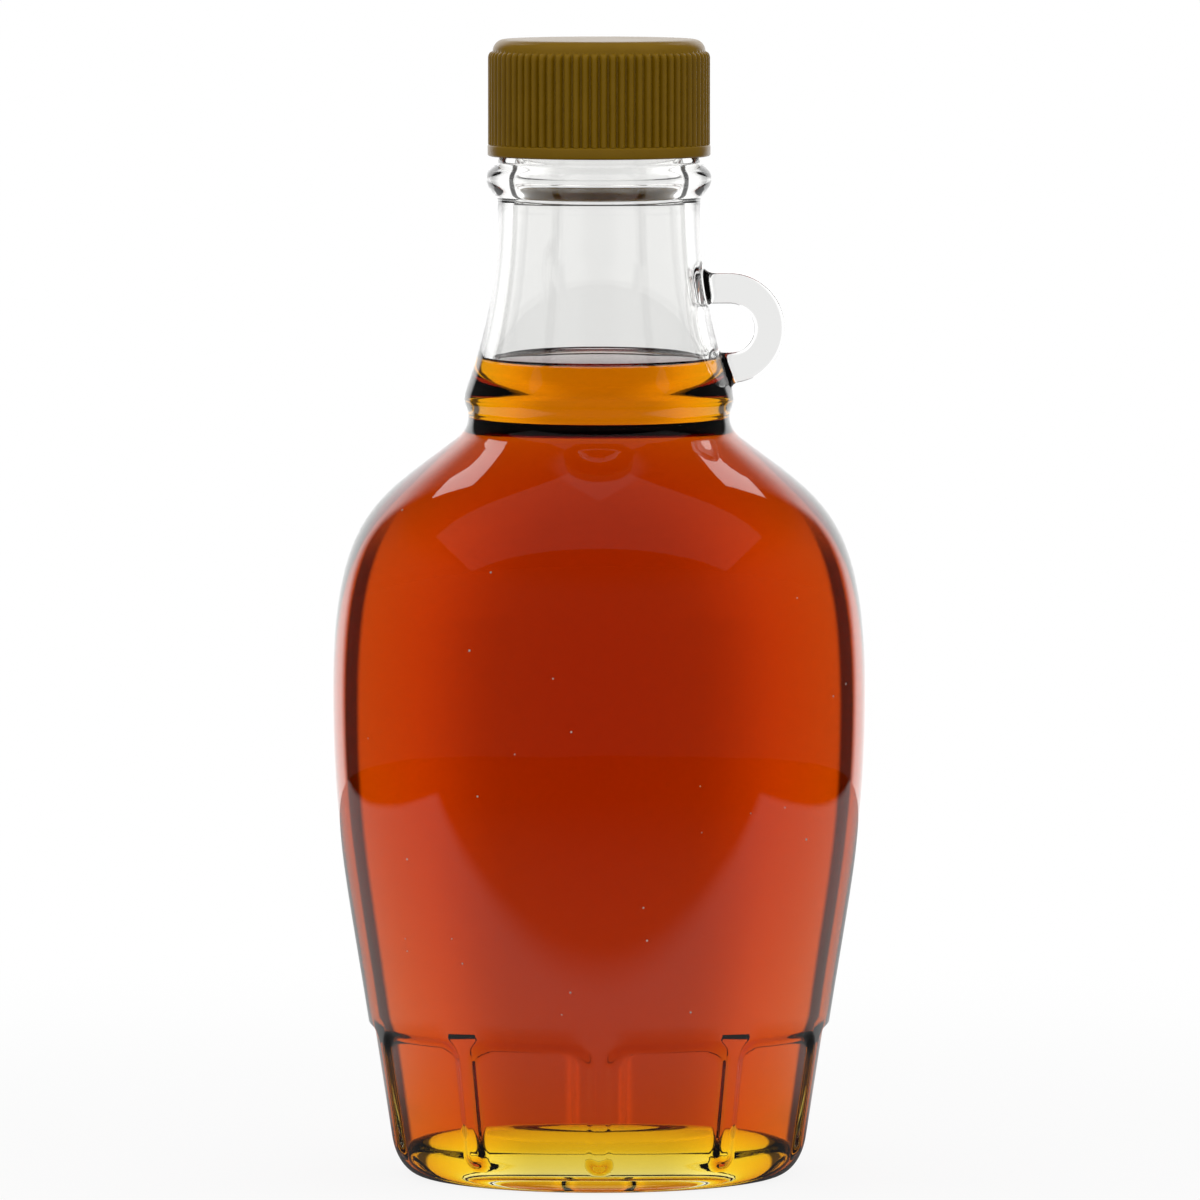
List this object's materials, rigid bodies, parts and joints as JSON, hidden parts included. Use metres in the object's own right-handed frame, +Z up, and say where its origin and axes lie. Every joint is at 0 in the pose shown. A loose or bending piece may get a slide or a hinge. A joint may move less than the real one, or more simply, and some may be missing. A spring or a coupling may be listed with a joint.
{
  "type": "bottle of maple syrup",
  "caption": "Clear glass flask with a finger ring on its neck, filled with amber maple syrup and closed with a ribbed gold screw cap.",
  "frame": {"origin": "centre of the base on the surface the bottle stands on", "axes": "+Z up along the bottle's axis, +X towards the finger ring, -Y the front with one base rib facing it"},
  "size_m": [0.072, 0.072, 0.1532],
  "materials": {
    "clear_glass": "clear polished flint glass",
    "amber_syrup": "clear amber liquid",
    "gold_plastic": "satin gold-brown plastic"
  },
  "bodies": {
    "root": {"bottle": "clear_glass", "syrup": "amber_syrup", "cap": "gold_plastic"}
  },
  "joints": []
}
